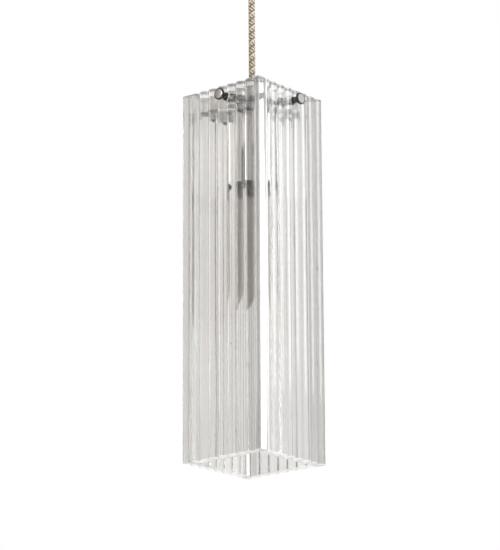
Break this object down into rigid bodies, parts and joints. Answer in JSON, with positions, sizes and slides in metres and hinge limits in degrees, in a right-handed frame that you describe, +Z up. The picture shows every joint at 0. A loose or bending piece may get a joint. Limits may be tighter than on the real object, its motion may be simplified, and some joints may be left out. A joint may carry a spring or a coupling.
{
  "type": "ribbed glass pendant lantern",
  "caption": "Square pendant lantern: tall ribbed glass panels on a chrome tray, held by thumb nuts round a cupped lamp holder, hanging on a textile cord.",
  "frame": {"origin": "middle of the ceiling bracket's top face, where it meets the ceiling", "axes": "+Z up out of the ceiling face, against the hanging direction; +X along the ceiling bracket; -Y towards the front glass panel"},
  "size_m": [0.118, 0.118, 0.552],
  "materials": {
    "chrome": "polished chrome plate",
    "zinc_steel": "zinc plated, satin",
    "brass": "turned brass, slightly dulled",
    "bulb_metal": "rolled thread, bright",
    "clear_glass": "clear pressed glass with a faint green edge tint and small seeds",
    "bulb_glass": "opal grey-beige, satin",
    "rubber": "matt",
    "holder_ceramic": "black glaze",
    "terminal_plastic": "natural nylon",
    "black_insulator": "black vitrified insulator",
    "textile": "brown, gold and cream twisted braid"
  },
  "bodies": {
    "ceiling_fitting": {"ceiling_bracket": "zinc_steel", "ceiling_rose": "chrome", "rose_screw_right": "chrome", "rose_screw_left": "chrome", "terminal_block": "terminal_plastic", "rose_cord_grip": "chrome", "rose_lock_nut": "brass", "cord_tail": "textile"},
    "swing_link": {"swing_bush": "rubber"},
    "cord": {"suspension_cord": "textile", "pan_cord_grip": "chrome", "pan_grip_screw": "zinc_steel"},
    "lantern": {"threaded_tube": "brass", "pan_lock_nut": "brass", "carrier_pan": "chrome", "glass_panel_right": "clear_glass", "glass_panel_back": "clear_glass", "glass_panel_left": "clear_glass", "glass_panel_front": "clear_glass", "stud_right": "zinc_steel", "stud_back": "zinc_steel", "stud_left": "zinc_steel", "stud_front": "zinc_steel", "inner_washer_right": "rubber", "inner_washer_back": "rubber", "inner_washer_left": "rubber", "inner_washer_front": "rubber", "outer_washer_right": "rubber", "outer_washer_back": "rubber", "outer_washer_left": "rubber", "outer_washer_front": "rubber", "holder_cup": "chrome", "holder_cap": "holder_ceramic", "cap_lock_nut": "brass", "holder_body": "holder_ceramic", "holder_shell": "brass", "holder_contact": "brass"},
    "nut_right": {"thumb_nut_right": "chrome"},
    "nut_back": {"thumb_nut_back": "chrome"},
    "nut_left": {"thumb_nut_left": "chrome"},
    "nut_front": {"thumb_nut_front": "chrome"},
    "bulb": {"bulb_tip_contact": "brass", "bulb_insulator": "black_insulator", "bulb_base": "bulb_metal", "bulb_glass": "bulb_glass"}
  },
  "joints": [
    {"name": "swing_front_back", "type": "hinge", "parent": "ceiling_fitting", "child": "swing_link", "pos_m": [0, 0, -0.042], "axis": [1, 0, 0], "range_deg": [-10, 10]},
    {"name": "swing_left_right", "type": "hinge", "parent": "swing_link", "child": "cord", "pos_m": [0, 0, -0.042], "axis": [0, 1, 0], "range_deg": [-10, 10]},
    {"name": "cord_twist", "type": "hinge", "parent": "cord", "child": "lantern", "pos_m": [0, 0, -0.183], "axis": [0, 0, 1], "range_deg": [-180, 180]},
    {"name": "nut_right_turn", "type": "hinge", "parent": "lantern", "child": "nut_right", "pos_m": [0.055, 0.0058, -0.1868], "axis": [1, 0, 0], "continuous": true},
    {"name": "nut_back_turn", "type": "hinge", "parent": "lantern", "child": "nut_back", "pos_m": [-0.0058, 0.055, -0.1868], "axis": [0, 1, 0], "continuous": true},
    {"name": "nut_left_turn", "type": "hinge", "parent": "lantern", "child": "nut_left", "pos_m": [-0.055, -0.0058, -0.1868], "axis": [-1, 0, 0], "continuous": true},
    {"name": "nut_front_turn", "type": "hinge", "parent": "lantern", "child": "nut_front", "pos_m": [0.0058, -0.055, -0.1868], "axis": [0, -1, 0], "continuous": true},
    {"name": "bulb_turn", "type": "hinge", "parent": "lantern", "child": "bulb", "pos_m": [0, 0, -0.255], "axis": [0, 0, 1], "continuous": true}
  ]
}
